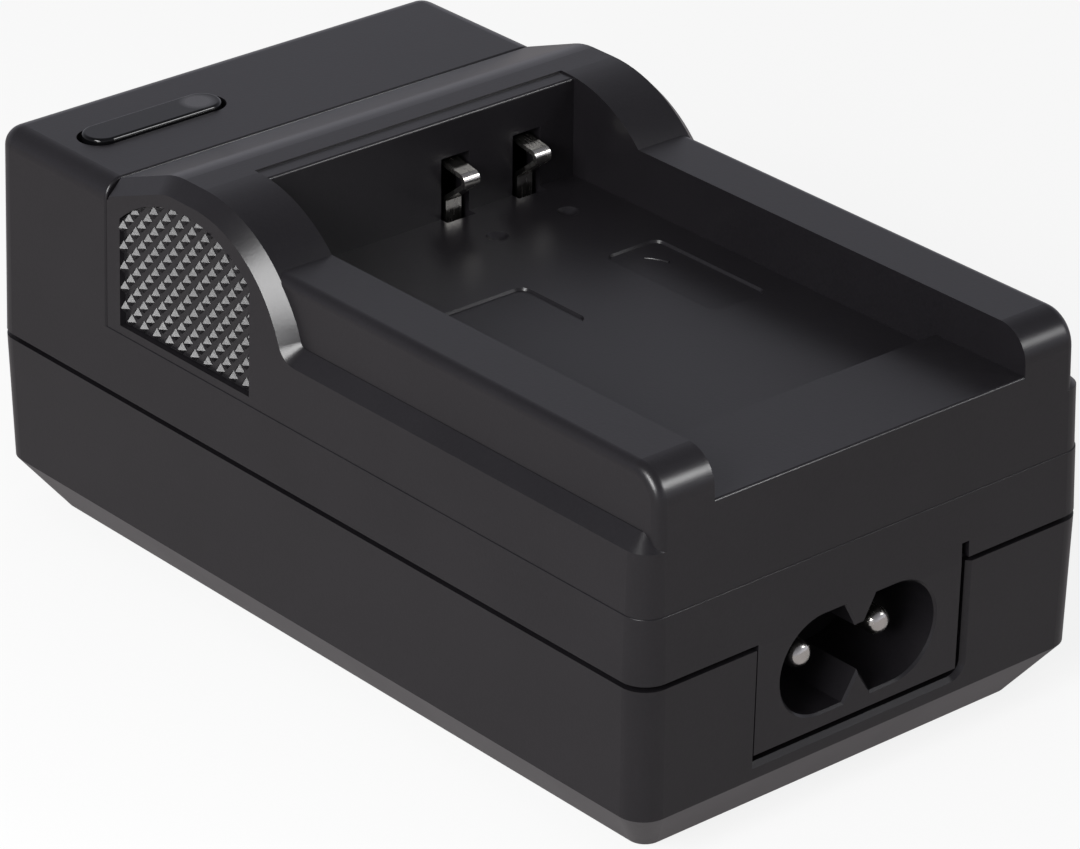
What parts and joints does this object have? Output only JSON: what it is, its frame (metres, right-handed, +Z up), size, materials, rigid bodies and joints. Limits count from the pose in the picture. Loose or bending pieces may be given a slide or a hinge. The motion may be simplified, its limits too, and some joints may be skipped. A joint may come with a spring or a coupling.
{
  "type": "camera battery charger",
  "caption": "Mains battery charger with an open-fronted battery bay, spring contacts, knurled side grips, an indicator lens and a figure-eight mains inlet.",
  "frame": {"origin": "under the middle of the base, on the surface the charger stands on", "axes": "+Z up, +Y along the length from the mains inlet to the indicator head, +X across the width"},
  "size_m": [0.0484, 0.085, 0.0389],
  "materials": {
    "housing_plastic": "fine satin texture",
    "grip_plastic": "small moulded pyramids",
    "lens_plastic": "dark smoked and smooth",
    "nickel_plate": "bright nickel plate",
    "lead_sleeve": "smooth sleeve",
    "zinc_steel": "zinc plated",
    "board_laminate": "green board",
    "ferrite": "dull ferrite",
    "bobbin_plastic": "moulded",
    "winding_tape": "yellow tape",
    "capacitor_sleeve": "shrunk sleeve",
    "chip_plastic": "moulded resin",
    "fuse_glass": "glass tube and caps",
    "disc_coating": "dipped coating",
    "led_resin": "clear resin"
  },
  "bodies": {
    "charger": {"lower_housing": "housing_plastic", "upper_housing": "housing_plastic", "battery_cradle": "housing_plastic", "grip_pad_left": "grip_plastic", "grip_pad_right": "grip_plastic", "indicator_lens": "lens_plastic", "inlet_pin_left": "nickel_plate", "inlet_pin_right": "nickel_plate", "contact_lead_left": "lead_sleeve", "contact_lead_right": "lead_sleeve", "housing_screws": "zinc_steel", "board_screws": "zinc_steel", "circuit_board": "board_laminate", "transformer_core": "ferrite", "transformer_bobbin": "bobbin_plastic", "transformer_winding": "winding_tape", "mains_capacitor": "capacitor_sleeve", "output_capacitor": "capacitor_sleeve", "bridge_rectifier": "chip_plastic", "switching_chip": "chip_plastic", "optocoupler": "chip_plastic", "charge_control_chip": "chip_plastic", "mains_fuse": "fuse_glass", "output_diode": "chip_plastic", "line_choke": "ferrite", "safety_capacitor": "disc_coating", "status_led": "led_resin", "board_resistors": "chip_plastic"},
    "left_contact": {"contact_spring_left": "nickel_plate"},
    "right_contact": {"contact_spring_right": "nickel_plate"}
  },
  "joints": [
    {"name": "left_contact_press", "type": "hinge", "parent": "charger", "child": "left_contact", "pos_m": [0.00343, 0.0136, 0.0288], "axis": [-1, 0, 0], "range_deg": [0, 12], "stiffness_Nm_per_rad": 0.026},
    {"name": "right_contact_press", "type": "hinge", "parent": "charger", "child": "right_contact", "pos_m": [0.01137, 0.0136, 0.0288], "axis": [-1, 0, 0], "range_deg": [0, 12], "stiffness_Nm_per_rad": 0.026}
  ]
}
